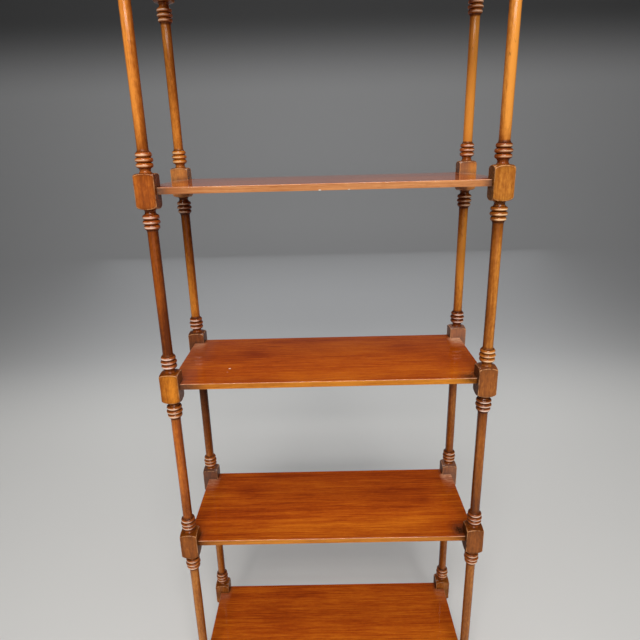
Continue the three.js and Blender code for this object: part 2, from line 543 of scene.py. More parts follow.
# the ring turnings at a piece's low end and high end: strength of the painted highlight on the crowns, how golden that
# highlight is, tone, ruddiness
RINGS = {
    "post_front_left_4": ((0.66, 0.5, 0.0, 0.9), (0.8, 0.3, 0.0, 0.8)),
    "post_front_right_4": ((0.5, 0.6, 0.0, 0.9), (0.8, 0.4, 0.1, 0.6)),
    "post_back_left_4": ((0.9, 0.85, 0.15, 0.6), (0.8, 0.4, 0.0, 0.7)),
    "post_back_right_4": ((0.65, 0.15, 0.1, 0.8), (0.8, 0.4, 0.1, 0.6)),
    "post_front_left_3": ((1.0, 0.0, -0.15, 0.8), (0.65, 0.15, -0.1, 1.0)),
    "post_front_right_3": ((1.0, 0.6, 0.08, 0.4), (1.0, 0.7, -0.04, 0.3)),
    "post_back_left_3": ((0.95, 0.05, -0.1, 0.9), (0.5, 0.4, -0.4, 0.6)),
    "post_back_right_3": ((0.95, 0.05, -0.1, 0.9), (0.7, 0.5, -0.3, 0.5)),
    "post_front_left_2": ((0.95, 0.15, 0.0, 0.9), (0.9, 0.35, -0.15, 0.6)),
    "post_front_right_2": ((0.95, 0.15, -0.1, 0.8), (0.95, 0.1, -0.25, 0.5)),
}


def finish_post(ob, name, x, y, z, sx, sy):
    """Grain, wear, dirt and tone of one turned piece whose block centre is at x, y, z, with its painted highlights,
    painted shade and painted haze.
    """
    co = coords(ob) * 1000 - np.array([x, y, z])
    nn = slopes(ob)
    r = np.hypot(co[:, 0], co[:, 1])
    zz = co[:, 2]
    ax, ay = np.abs(co[:, 0]), np.abs(co[:, 1])
    has_block = not name.startswith("foot")
    block = (np.abs(zz) < 33.1) & (r > 11.6) & has_block
    big, small = np.maximum(ax, ay), np.minimum(ax, ay)
    over, under = shoulders(name)
    long_arris = smooth01(small, H - RC - 0.5, H - RC + 0.3) * (big > H - 1.3)
    sz = np.array([shoulder_z(q, over if h > 0 else under) for q, h in zip(r, zz)])
    on_side = big > H - 0.9
    end_arris = on_side * smooth01(np.abs(zz), sz - 1.5, sz - 0.5)
    wear = np.where(block, np.maximum(long_arris, end_arris), 0)
    # darker just inside the arrises of a block
    inside_by = np.minimum(H - RC - small, sz - 1.6 - np.abs(zz))
    border = on_side * block * np.exp(-np.maximum(0, inside_by) / 3.0)
    # painted highlight: the crowns of the beads are painted pale, most on their front and outer side; painted shade:
    # their flanks are painted darker towards the grooves, which are dark with dirt
    level_n = np.maximum(np.hypot(nn[:, 0], nn[:, 1]), 1e-6)
    outward = nn[:, 0] * sx * 0.30 / level_n
    ahead = np.maximum(outward - nn[:, 1] * 0.954 / level_n, 0.75 * (outward + nn[:, 1] * 0.954 / level_n))
    handled = smooth01(ahead, 0.30, 0.92)
    crown = (0.15 + 1.3 * handled) * np.exp(-(((nn[:, 2] + 0.08) / (0.13 + 0.09 * handled)) ** 2))
    crest = np.zeros(len(r))
    gold = np.zeros(len(r))
    ring = np.zeros(len(r))
    ring_tone = np.zeros(len(r))
    ring_ruddy = np.zeros(len(r))
    grime = 0.5 * border
    finial = name.startswith("finial")
    turnings = ((0, 1), (PITCH, -1), (0, -1))
    for k, (base, sign) in enumerate(turnings):
        polish, yellow, r_tone, r_red = RINGS.get(name, ((0.8, 0.3, 0.0, 0.7), (0.8, 0.3, 0.0, 0.7)))[k % 2]
        d = (zz - base) * sign
        inside = (d > 33.0) & (d < (50.5 if finial else 77.0))
        bead = inside & (d > 41.3) & (d < 70.2) & (r > GROOVE_R + 1.2)
        crest = np.where(bead, np.minimum(1.0, polish * crown), crest)
        gold = np.where(bead, yellow, gold)
        g = smooth01(-r, -14.4, -12.8)
        g = np.where(bead, np.maximum(g, 0.08 + 0.6 * smooth01(np.abs(nn[:, 2] + 0.06), 0.6, 0.96)), g)
        g = np.where(d < 41.2, 0.12 + 0.3 * smooth01(-r, -11.3, -10.2), g)
        g = np.where(d > 69.9, 0.8 * smooth01(-d, -77.0, -71.5), g)
        near_joint = smooth01(-np.abs(d - 33.2), -1.4, 0) * (r < 12.5)
        grime = np.where(inside, np.maximum(grime, g), grime)
        grime = np.maximum(grime, 0.9 * near_joint)
        here = inside * smooth01(-d, -77.0, -71.0)
        ring = np.maximum(ring, here)
        ring_tone = np.where(inside, r_tone, ring_tone)
        ring_ruddy = np.where(inside, r_red, ring_ruddy)
    # painted shade: the two faces of a block towards the middle of the stand are painted darker, most round the shelf's
    # housing
    toward_x = smooth01(-sx * co[:, 0], H - 1.2, H - 0.2)
    toward_y = smooth01(-sy * co[:, 1], H - 1.2, H - 0.2)
    reach = np.exp(-np.maximum(0, np.abs(zz - 0.7) - 6.5) / 9.0)
    inner = np.maximum(toward_x, toward_y) * block
    grime = np.maximum(grime, toward_x * block * (0.85 if sx > 0 else 0.6))
    grime = np.maximum(grime, inner * (0.1 + 0.5 * reach))
    on_shaft = smooth01(zz, 76, 84) * smooth01(-zz, 76 - PITCH, 84 - PITCH)
    # painted shade: post_back_left_2 is painted darker and duller towards its high end, under the shelf above;
    # post_front_left_2 is darker and duller towards its low end
    if name == "post_back_left_2":
        grime = np.maximum(grime, (0.34 + 0.5 * smooth01(zz, 170, 320)) * on_shaft)
    if name == "post_front_left_2":
        grime = np.maximum(grime, 0.45 * smooth01(-zz, -170, -90) * on_shaft)
    endg = smooth01(np.abs(nn[:, 2]), 0.45, 0.95) * block
    own = -0.1 + 0.2 * rnd(name, "tone")
    t_block, t_shaft, r_block, r_shaft = PIECE_TONE.get(
        name, (own, (own, own, own + 0.1, own, own), 0.3 * rnd(name, "r"), 0.3 * rnd(name, "s"))
    )
    # painted light: a post is painted lighter on its outer front and darker on its side towards the middle of the stand
    round_it = (co[:, 0] * sx * 0.42 - co[:, 1] * 0.907) / np.maximum(r, 1.0)
    t_shaft = np.interp(zz, SHAFT_AT, t_shaft) + 0.34 * (round_it - 0.4)
    t_shaft = t_shaft + (ring_tone + 0.1 * (round_it - 0.4) - t_shaft) * ring
    tone = np.where(np.abs(zz) < 33, t_block, t_shaft)
    ruddy = np.where(np.abs(zz) < 33, r_block, r_shaft + (ring_ruddy - r_shaft) * ring)
    # painted highlight: an upright band of sheen is painted lighter down the front faces of the next three blocks
    if name == "post_front_left_3":
        face = (co[:, 1] < -H + 1.2) & block
        tone = np.where(face, 0.16 + 0.3 * np.exp(-(((co[:, 0] - 4) / 6.5) ** 2)), tone)
    if name == "post_front_left_4":
        face = (co[:, 1] < -H + 1.2) & block
        tone = np.where(face, -0.12 + 0.26 * np.exp(-(((co[:, 0] + 15) / 7.5) ** 2)), tone)
    if name == "post_front_right_4":
        face = (co[:, 1] < -H + 1.2) & block
        tone = np.where(face, 0.24 - 0.1 * smooth01(np.abs(co[:, 0]), 6, 16), tone)
    film = block * FILM.get(name, 0.0)
    # painted light: the front face of this block is painted lighter and less hazy on its right half, and darker at its
    # top
    if name == "post_back_right_4":
        face = (co[:, 1] < -H + 1.2) & block
        lit = smooth01(co[:, 0], -7, 9)
        above = smooth01(zz, 12, 20)
        tone = np.where(face, 0.4 - 0.1 * above + 0.36 * lit * (1 - 0.4 * above) - 0.3 * smooth01(zz, 22, 31), tone)
        film = np.where(face, 0.26 - 0.18 * lit, film)
    # painted reflection: a pale haze on this block's face towards the middle
    if name == "post_front_left_3":
        film = np.maximum(film, 0.13 * toward_x * block)
    d_block, d_shaft = DEPTH.get(name, (0.0, 0.0))
    gold = np.where(np.abs(zz) < 33, d_block, gold + (1 - ring) * d_shaft)
    # warmer on the outer side and at the back, where it is handled less
    side_on = np.maximum(co[:, 0] * sx, 0) / np.maximum(r, 1.0)
    away = np.maximum(smooth01(side_on, 0.78, 0.98), smooth01(co[:, 1] / np.maximum(r, 1.0), 0.3, 0.8))
    away = np.where(block, np.maximum(smooth01(co[:, 0] * sx, H - 1.2, H - 0.2), smooth01(co[:, 1], H - 1.2, H - 0.2)), away)
    ruddy = np.maximum(ruddy, 0.6 * away)
    turn = rnd(name, "turn") * 2 * math.pi
    c, s = math.cos(turn), math.sin(turn)
    ox, oy, oz = (rnd(name, k) * 3.0 for k in "abc")
    g = co / 1000
    grain = np.stack(
        [g[:, 0] * c - g[:, 1] * s + ox, g[:, 0] * s + g[:, 1] * c + oy, g[:, 2] + oz], 1
    )
    write_attributes(
        ob, grain, wear=wear, crest=crest, gold=gold, grime=grime, tone=tone, ruddy=ruddy, film=film, endg=endg,
        rim=0.0, across=1.0,
    )


# ---------------------------------------------------------------- materials


class Nodes:
    """A short way to write node trees."""

    def __init__(self, name):
        self.mat = bpy.data.materials.new(name)
        self.mat.use_nodes = True
        self.t = self.mat.node_tree
        self.t.nodes.clear()

    def add(self, kind, **props):
        n = self.t.nodes.new(kind)
        for k, v in props.items():
            setattr(n, k, v)
        return n

    def put(self, socket, value):
        if hasattr(value, "is_linked") or isinstance(value, bpy.types.NodeSocket):
            self.t.links.new(value, socket)
        else:
            socket.default_value = value

    def math(self, op, a, b=0.0, c=0.0, clamp=False):
        n = self.add("ShaderNodeMath", operation=op, use_clamp=clamp)
        for i, v in enumerate((a, b, c)):
            if i < len(n.inputs):
                self.put(n.inputs[i], v)
        return n.outputs[0]

    def ramp(self, v, lo, hi, a=0.0, b=1.0, smooth=True):
        n = self.add(
            "ShaderNodeMapRange",
            interpolation_type="SMOOTHSTEP" if smooth else "LINEAR",
            clamp=True,
        ) if smooth else self.add("ShaderNodeMapRange", clamp=True)
        for k, x in (("Value", v), ("From Min", lo), ("From Max", hi), ("To Min", a), ("To Max", b)):
            self.put(n.inputs[k], x)
        return n.outputs["Result"]

    def scaled(self, vector, sx, sy, sz, off=(0, 0, 0)):
        n = self.add("ShaderNodeMapping")
        self.put(n.inputs["Vector"], vector)
        n.inputs["Scale"].default_value = (sx, sy, sz)
        n.inputs["Location"].default_value = off
        return n.outputs["Vector"]

    def noise(self, vector, scale=1.0, detail=2.0, rough=0.5, distortion=0.0):
        n = self.add("ShaderNodeTexNoise")
        self.put(n.inputs["Vector"], vector)
        n.inputs["Scale"].default_value = scale
        n.inputs["Detail"].default_value = detail
        n.inputs["Roughness"].default_value = rough
        n.inputs["Distortion"].default_value = distortion
        return n.outputs["Fac"]

    def mix(self, fac, a, b, blend="MIX"):
        n = self.add("ShaderNodeMix", data_type="RGBA", blend_type=blend)
        self.put(n.inputs["Factor"], fac)
        sockets = [s for s in n.inputs if s.type == "RGBA"]
        self.put(sockets[0], a)
        self.put(sockets[1], b)
        return [s for s in n.outputs if s.type == "RGBA"][0]

    def attr(self, name, out="Fac"):
        n = self.add("ShaderNodeAttribute", attribute_name=name)
        return n.outputs[out]


def wood(name, dark, mid, light, pore, dust, worn, rim, look, joints=(), flecks=()):
    """Lacquered mahogany. The grain attribute's third axis runs along the grain; look holds the scales and strengths.

    flecks: pale chips, each its centre on the grain axes, its three radii and its strength.
    """
    n = Nodes(name)
    g = n.attr("grain", "Vector")
    unmoved = g
    across = n.attr("across")
    # boards glued edge to edge: each has its own figure
    for k, at in enumerate(joints):
        side = n.math("GREATER_THAN", across, at)
        step = n.add("ShaderNodeCombineXYZ")
        n.put(step.inputs[0], n.math("MULTIPLY", side, 0.91 + 0.37 * k))
        n.put(step.inputs[2], n.math("MULTIPLY", side, 1.73 - 0.41 * k))
        moved = n.add("ShaderNodeVectorMath", operation="ADD")
        n.put(moved.inputs[0], g)
        n.put(moved.inputs[1], step.outputs[0])
        g = moved.outputs[0]
    # slow wander of the grain, so that the stripes aren't ruled lines
    wander = n.noise(n.scaled(g, 5, 5, 2.2), detail=2)
    bent = n.add("ShaderNodeVectorMath", operation="ADD")
    n.put(bent.inputs[0], g)
    off = n.add("ShaderNodeCombineXYZ")
    shift_v = n.math("MULTIPLY", n.math("SUBTRACT", wander, 0.5), look["wander"])
    n.put(off.inputs[0], shift_v)
    n.put(off.inputs[1], n.math("MULTIPLY", shift_v, 0.6))
    n.put(bent.inputs[1], off.outputs[0])
    v = bent.outputs[0]
    broad = n.noise(n.scaled(v, look["broad"], look["broad"], 1.6), detail=2, rough=0.55)
    band = n.noise(n.scaled(v, look["band"], look["band"], 2.6, (3, 1, 2)), detail=3, rough=0.6)
    streak = n.noise(n.scaled(v, look["streak"], look["streak"], 6.0, (1, 7, 5)), detail=3, rough=0.7)
    fine = n.noise(n.scaled(v, look["streak"] * 3.1, look["streak"] * 3.1, 16.0, (6, 2, 8)), detail=2, rough=0.6)
    cloud = n.noise(n.scaled(g, 9, 9, 6, (9, 4, 1)), detail=2, rough=0.5)
    tone = n.math("MULTIPLY", n.math("SUBTRACT", broad, 0.5), look["k_broad"])
    tone = n.math("MULTIPLY_ADD", n.math("SUBTRACT", band, 0.5), look["k_band"], tone)
    tone = n.math("MULTIPLY_ADD", n.math("SUBTRACT", streak, 0.5), look["k_streak"], tone)
    tone = n.math("MULTIPLY_ADD", n.math("SUBTRACT", fine, 0.5), look["k_fine"], tone)
    tone = n.math("MULTIPLY_ADD", n.math("SUBTRACT", cloud, 0.5), look["k_cloud"], tone)
    mottle = n.noise(n.scaled(g, 230, 230, 90, (3, 8, 6)), detail=3, rough=0.65)
    tone = n.math("MULTIPLY_ADD", n.math("SUBTRACT", mottle, 0.5), look["k_mottle"], tone)
    tone = n.math("ADD", tone, n.attr("tone"))
    tone = n.math("ADD", tone, 0.5, clamp=True)
    low = n.ramp(tone, 0.0, 0.5, smooth=False)
    high = n.ramp(tone, 0.5, 1.0, smooth=False)
    colour = n.mix(low, dark, mid)
    colour = n.mix(high, colour, light)
    # the long edges of a board are sawn across the figure and show paler, straighter wood
    edge_wood = n.mix(n.ramp(tone, 0.1, 0.9, smooth=False), rim[0], rim[1])
    colour = n.mix(n.math("MULTIPLY", n.attr("rim"), 0.92), colour, edge_wood)
    colour = n.mix(n.attr("ruddy"), colour, n.mix(1.0, colour, (1.0, 0.70, 0.66, 1), "MULTIPLY"))
    colour = n.mix(n.attr("gold"), colour, n.mix(1.0, colour, (1.0, 0.97, 0.45, 1), "MULTIPLY"))
    # pores: short dark lines along the grain
    pores = n.noise(n.scaled(v, 1500, 1500, 42, (2, 2, 2)), detail=2, rough=0.6)
    pores = n.ramp(pores, 0.60, 0.70)
    where = n.ramp(n.noise(n.scaled(v, 120, 120, 3, (5, 5, 5)), detail=1), 0.35, 0.65)
    pores = n.math("MULTIPLY", pores, n.math("MULTIPLY_ADD", where, 0.7, 0.3))
    # end grain drinks more stain, and shows its pores as dots
    endg = n.attr("endg")
    dots = n.ramp(n.noise(n.scaled(g, 1400, 1400, 1400, (7, 3, 2)), detail=1), 0.56, 0.66)
    pores = n.math("MULTIPLY", pores, n.math("SUBTRACT", 1.0, endg))
    pores = n.math("MULTIPLY_ADD", n.math("MULTIPLY", dots, endg), 0.6, pores)
    colour = n.mix(n.math("MULTIPLY", endg, look["k_end"]), colour, n.mix(1.0, colour, (0.40, 0.32, 0.34, 1), "MULTIPLY"))
    colour = n.mix(n.math("MULTIPLY", pores, look["k_pore"]), colour, pore)
    for k, at in enumerate(joints):
        line = n.ramp(n.math("ABSOLUTE", n.math("SUBTRACT", across, at)), 0.00012, 0.0005, 1.0, 0.0)
        line = n.math("MULTIPLY", line, n.ramp(n.noise(n.scaled(g, 3, 3, 9, (k, 5, 1))), 0.42, 0.6, 0.1, 0.6))
        colour = n.mix(line, colour, pore)
    # dirt in the grooves and joints together with painted shade, a painted pale haze, then rubbed places together with
    # painted highlights and reflections
    grime = n.attr("grime")
    grit = n.noise(n.scaled(g, 260, 260, 200), detail=3, rough=0.6)
    dirt = n.math("MULTIPLY", grime, n.ramp(grit, 0.2, 0.62, 0.6, 1.0))
    colour = n.mix(n.math("MULTIPLY", dirt, look["k_grime"], clamp=True), colour, dust)
    colour = n.mix(n.attr("film"), colour, (0.330, 0.215, 0.165, 1))
    wear = n.attr("wear")
    patchy = n.ramp(n.noise(n.scaled(g, 130, 130, 45, (4, 2, 7)), detail=3, rough=0.65), 0.36, 0.62, look["evenly"], 1.0)
    rub = n.math("MULTIPLY", wear, patchy)
    colour = n.mix(n.math("MULTIPLY", rub, look["k_wear"], clamp=True), colour, worn)
    # painted highlight: the crowns of the beads are painted pale
    shine = n.ramp(n.noise(n.scaled(g, 90, 90, 160, (2, 6, 4)), detail=2, rough=0.5), 0.3, 0.6, 0.7, 1.0)
    polished = n.mix(n.attr("gold"), (1.0, 0.75, 0.63, 1), (1.0, 0.62, 0.25, 1))
    colour = n.mix(n.math("MULTIPLY", n.math("MULTIPLY", n.attr("crest"), shine), look["k_crest"], clamp=True), colour, polished)
    # small dark marks and dents of use
    marks = n.noise(n.scaled(g, 95, 95, 60, (8, 8, 8)), detail=4, rough=0.7)
    marks = n.ramp(marks, 0.67, 0.75)
    colour = n.mix(n.math("MULTIPLY", marks, look["k_mark"]), colour, dust)
    for centre, radii, strength in flecks:
        inside = n.add("ShaderNodeVectorMath", operation="LENGTH")
        n.put(inside.inputs[0], n.scaled(unmoved, *(1 / q for q in radii), tuple(-c / q for c, q in zip(centre, radii))))
        ragged = n.math("MULTIPLY_ADD", n.noise(n.scaled(unmoved, 900, 900, 900), detail=2), 1.1, inside.outputs["Value"])
        colour = n.mix(n.ramp(ragged, 1.3, 1.7, strength, 0.0), colour, (0.92, 0.80, 0.66, 1))
    # gloss: nearly even, duller in the dirt and painted shade, and on the rubbed and sheen-painted places
    rough = n.ramp(n.noise(n.scaled(g, 38, 38, 14), detail=3), 0.3, 0.7, look["rough"] - 0.04, look["rough"] + 0.06)
    rough = n.math("MULTIPLY_ADD", dirt, 0.22, rough)
    rough = n.math("MULTIPLY_ADD", rub, 0.08, rough, clamp=True)
    # relief: pores, a faint ripple of the lacquer, and the grain telegraphing through
    relief = n.math("MULTIPLY", pores, -0.55)
    ripple = n.noise(n.scaled(g, 62, 62, 26, (1, 3, 9)), detail=1)
    relief = n.math("MULTIPLY_ADD", ripple, look["k_ripple"], relief)
    relief = n.math("MULTIPLY_ADD", streak, 0.4, relief)
    relief = n.math("MULTIPLY_ADD", marks, -0.8, relief)
    bump = n.add("ShaderNodeBump")
    bump.inputs["Strength"].default_value = look["bump"]
    bump.inputs["Distance"].default_value = 0.0002
    n.put(bump.inputs["Height"], relief)
    p = n.add("ShaderNodeBsdfPrincipled")
    n.put(p.inputs["Base Color"], colour)
    n.put(p.inputs["Roughness"], rough)
    p.inputs["IOR"].default_value = 1.5
    p.inputs["Specular IOR Level"].default_value = look["spec"]
    n.put(p.inputs["Coat Weight"], n.math("MULTIPLY_ADD", dirt, -0.75, look["coat"], clamp=True))
    n.put(p.inputs["Coat Roughness"], n.math("MULTIPLY_ADD", dirt, 0.4, look["coat_rough"], clamp=True))
    p.inputs["Coat IOR"].default_value = look["ior"]
    n.put(p.inputs["Normal"], bump.outputs[0])
    out = n.add("ShaderNodeOutputMaterial")
    n.put(out.inputs[0], p.outputs[0])
    return n.mat


POST_LOOK = dict(
    wander=0.012, broad=20, band=70, streak=260, k_broad=0.6, k_band=0.6, k_streak=0.4, k_fine=0.4,
    k_cloud=0.8, k_mottle=0.7, k_pore=0.3, k_grime=0.9, k_wear=0.65, k_crest=1.0, k_mark=0.4, k_ripple=0.8, k_end=0.85,
    rough=0.5, bump=0.2, spec=0.0, coat=1.0, coat_rough=0.10, ior=1.38, evenly=0.0,
)
SHELF_LOOK = dict(
    wander=0.012, broad=14, band=56, streak=250, k_broad=0.8, k_band=0.85, k_streak=1.1, k_fine=1.5,
    k_cloud=0.7, k_mottle=0.45, k_pore=0.55, k_grime=0.85, k_wear=0.9, k_crest=0.0, k_mark=0.2, k_ripple=0.3, k_end=0.75,
    rough=0.5, bump=0.1, spec=0.0, coat=1.0, coat_rough=0.07, ior=1.36, evenly=0.35,
)
mat_post = wood(
    "mahogany_post",
    dark=(0.110, 0.028, 0.0045, 1),
    mid=(0.320, 0.096, 0.0125, 1),
    light=(0.720, 0.285, 0.0480, 1),
    pore=(0.060, 0.014, 0.004, 1),
    dust=(0.022, 0.0055, 0.0024, 1),
    worn=(0.700, 0.340, 0.140, 1),
    rim=((0.34, 0.10, 0.016, 1), (0.6, 0.22, 0.03, 1)),
    look=POST_LOOK,
)

# the sawn long edges of each shelf, from dark to light
EDGE = {4: ((0.360, 0.120, 0.034, 1), (0.610, 0.275, 0.105, 1))}
PLAIN_EDGE = ((0.360, 0.092, 0.008, 1), (0.680, 0.250, 0.022, 1))


def shelf_material(name, joints, figure, edge, flecks):
    look = dict(SHELF_LOOK)
    for k in ("k_broad", "k_band", "k_streak"):
        look[k] *= figure
    return wood(
        name,
        dark=(0.205, 0.025, 0.0028, 1),
        mid=(0.355, 0.061, 0.0044, 1),
        light=(0.545, 0.137, 0.0080, 1),
        pore=(0.110, 0.018, 0.002, 1),
        dust=(0.024, 0.008, 0.003, 1),
        worn=(0.780, 0.420, 0.250, 1),
        rim=edge,
        look=look,
        joints=joints,
        flecks=flecks,
    )


def beech():
    n = Nodes("beech_dowel")
    g = n.attr("grain", "Vector")
    fleck = n.noise(n.scaled(g, 900, 900, 60), detail=2)
    band = n.noise(n.scaled(g, 240, 240, 8), detail=2)
    colour = n.mix(n.ramp(band, 0.3, 0.7), (0.56, 0.35, 0.17, 1), (0.68, 0.47, 0.27, 1))
    colour = n.mix(n.math("MULTIPLY", n.ramp(fleck, 0.58, 0.7), 0.5), colour, (0.36, 0.19, 0.08, 1))
    bump = n.add("ShaderNodeBump")
    bump.inputs["Strength"].default_value = 0.3
    bump.inputs["Distance"].default_value = 0.0001
    n.put(bump.inputs["Height"], fleck)
    p = n.add("ShaderNodeBsdfPrincipled")
    n.put(p.inputs["Base Color"], colour)
    p.inputs["Roughness"].default_value = 0.75
    n.put(p.inputs["Normal"], bump.outputs[0])
    out = n.add("ShaderNodeOutputMaterial")
    n.put(out.inputs[0], p.outputs[0])
    return n.mat


mat_beech = beech()


def adopt(ob, node, mat):
    ob.data.materials.clear()
    ob.data.materials.append(mat)
    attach(ob, "root")
    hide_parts(node)


# ---------------------------------------------------------------- posts, feet and finials


def turned_piece(node, rows, thetas, x, y, z, sx, sy, housed):
    verts, faces = revolve(rows, thetas)
    ob = new_object(node + "_fine", shift(verts, x, y, z), faces)
    if housed:
        cut(ob, block_cutters(sx, sy, x, y, z))
    shade(ob)
    finish_post(ob, node, x, y, z, sx, sy)
    adopt(ob, node, mat_post)
    return ob


ROUND = [2 * math.pi * k / 48 for k in range(48)]
for corner, sx, sy in CORNERS:
    x, y = sx * POST_X, sy * POST_Y
    node = "foot_" + corner
    turned_piece(node, foot_rows(node), ROUND, x, y, LEVEL_1, sx, sy, False)
    for level in range(1, LEVELS):
        node = f"post_{corner}_{level}"
        turned_piece(node, post_rows(node), THETA, x, y, height(level), sx, sy, True)
    node = "finial_" + corner
    turned_piece(node, finial_rows(node), THETA, x, y, height(LEVELS), sx, sy, True)

# ---------------------------------------------------------------- shelves


N_X, N_Y = 66, 24  # cells of a shelf's faces between the notches


def lines(half, notch, inner, n):
    """The grid lines across a face: the rim, one more, the notch, the line the tongue is cut back to, then n cells."""
    mid = [-inner + 2 * inner * k / n for k in range(n + 1)]
    return [-half, -(half + notch) / 2, -notch] + mid + [notch, (half + notch) / 2, half]


def rim_path(c):
    """The outline as steps on the grid of lines, anticlockwise from the front right notch. The notches are cut to line c."""
    x0, x1, x2, x3 = 0, c, 6 + N_X - c, 6 + N_X
    y0, y1, y2, y3 = 0, c, 6 + N_Y - c, 6 + N_Y
    turns = [
        (x2, y0), (x2, y1), (x3, y1), (x3, y2), (x2, y2), (x2, y3),
        (x1, y3), (x1, y2), (x0, y2), (x0, y1), (x1, y1), (x1, y0),
    ]
    path = []
    for k, (i, j) in enumerate(turns):
        i2, j2 = turns[(k + 1) % len(turns)]
        steps = max(abs(i2 - i), abs(j2 - j))
        for t in range(steps):
            path.append((i + (i2 - i) * t // steps, j + (j2 - j) * t // steps))
    return path


LOW, HIGH = 2, 3  # the line of the notch below the tongue's ledge and above it
PATH = {c: rim_path(c) for c in (LOW, HIGH)}


def in_outline(i, j, c):
    """Whether cell i, j of the grid is inside the outline with its notches cut to line c."""
    return not ((i < c or i >= 6 + N_X - c) and (j < c or j >= 6 + N_Y - c))


def edge_wave(x, y, seed, top):
    """How far the hand-planed edge is from straight at x, y on it: fractions of a millimetre, inwards."""
    if abs(abs(y) - HY) < 4 and abs(x) < NX - 8:
        along, side, room = x, 0 if y < 0 else 1, NX - 8 - abs(x)
    elif abs(abs(x) - HX) < 4 and abs(y) < NY - 8:
        along, side, room = y, 2 if x < 0 else 3, NY - 8 - abs(y)
    else:
        return 0.0
    w = 0.10 * wobble(along, seed + side, 0.03) + 0.06 * wobble(along, seed + side + 9, 0.15)
    if top:
        w += 0.12 * wobble(along, seed + side + 31, 0.10)
    w = (0.16 + w) * min(1.0, room / 20)
    return max(0.0, w)


def shelf_lines(c, inset, back):
    """The lines of a ring inset from the rim. back is how far its notches are cut back beyond their own line."""
    notch, inner = (back, HOUSING + GAP) if c == LOW else (0, HOUSING + GAP + back)
    return lines(HX - inset, NX - notch, NX - inner, N_X), lines(HY - inset, NY - notch, NY - inner, N_Y)


def shelf_ring(c, inset, back, z, seed, top):
    """One ring of the rim, a point for each node of its path."""
    hx, hy = HX - inset, HY - inset
    xs, ys = shelf_lines(c, inset, back)
    ring = []
    for i, j in PATH[c]:
        x, y = xs[i], ys[j]
        w = edge_wave(x, y, seed, top)
        if abs(abs(y) - hy) < 1e-6:
            y -= math.copysign(w, y)
        elif abs(abs(x) - hx) < 1e-6:
            x -= math.copysign(w, x)
        ring.append((x, y, z))
    return ring


def flatness(x, y, seed):
    """The lacquered face isn't a mirror: a tenth of a millimetre over a hand's breadth."""
    room = min(1.0, max(0.0, min(HX - abs(x), HY - abs(y)) / 25))
    return 0.09 * room * noise.noise(Vector((x * 0.009, y * 0.013, seed * 3.1)))


# where each shelf's boards are glued together, and how strong their figure is
JOINTS = {1: (0.041,), 2: (-0.0115,), 3: (-0.0325,), 4: (0.018,), 5: (-0.047,)}
FIGURE = {1: 0.9, 2: 1.0, 3: 0.62, 4: 0.8, 5: 0.9}

# darker and lighter clouds in the wood of a shelf; the dark strips along the back and the dark patch beside shelf 3's
# front left block are painted shade and reflection: x, y, half length, half width, strength
CLOUDS = {
    3: (
        (-168, 34, 34, 30, -0.26), (-120, -12, 60, 8, -0.16), (190, 40, 70, 22, -0.24), (40, -96, 120, 8, -0.12),
        (-60, 32, 40, 22, 0.14), (190, -70, 90, 26, 0.2), (-140, -75, 60, 24, 0.1), (0, 105, 300, 20, -0.14),
        (-20, -55, 60, 14, 0.1), (110, 0, 110, 6, -0.14), (-290, 0, 24, 80, -0.08), (-296, -108, 30, 34, -0.14),
    ),
    2: (
        (-205, 46, 46, 26, -0.3), (-110, 28, 90, 6, -0.16), (215, 42, 80, 8, -0.26), (235, 4, 26, 12, -0.28),
        (170, -28, 110, 7, -0.22), (20, -10, 90, 3.5, 0.24), (60, -46, 130, 12, 0.18), (150, -95, 100, 22, 0.2),
        (-40, -28, 150, 5, -0.16), (-150, 86, 34, 8, 0.2), (0, 118, 300, 12, -0.18), (-230, -70, 70, 30, -0.08),
    ),
}


# pale chips in the lacquer: x, y, z, half length, half width and half height, strength
FLECKS = {
    3: ((-216, -56, TOP, 2.4, 2.0, 1.5, 1.0), (-218, -75, TOP, 1.6, 1.3, 1.5, 0.2)),
    4: ((-8, -HY, TOP - THICK + 0.6, 2.6, 1.5, 1.4, 0.9), (46, -HY, TOP - THICK + 0.6, 2.2, 1.5, 1.2, 0.6)),
}


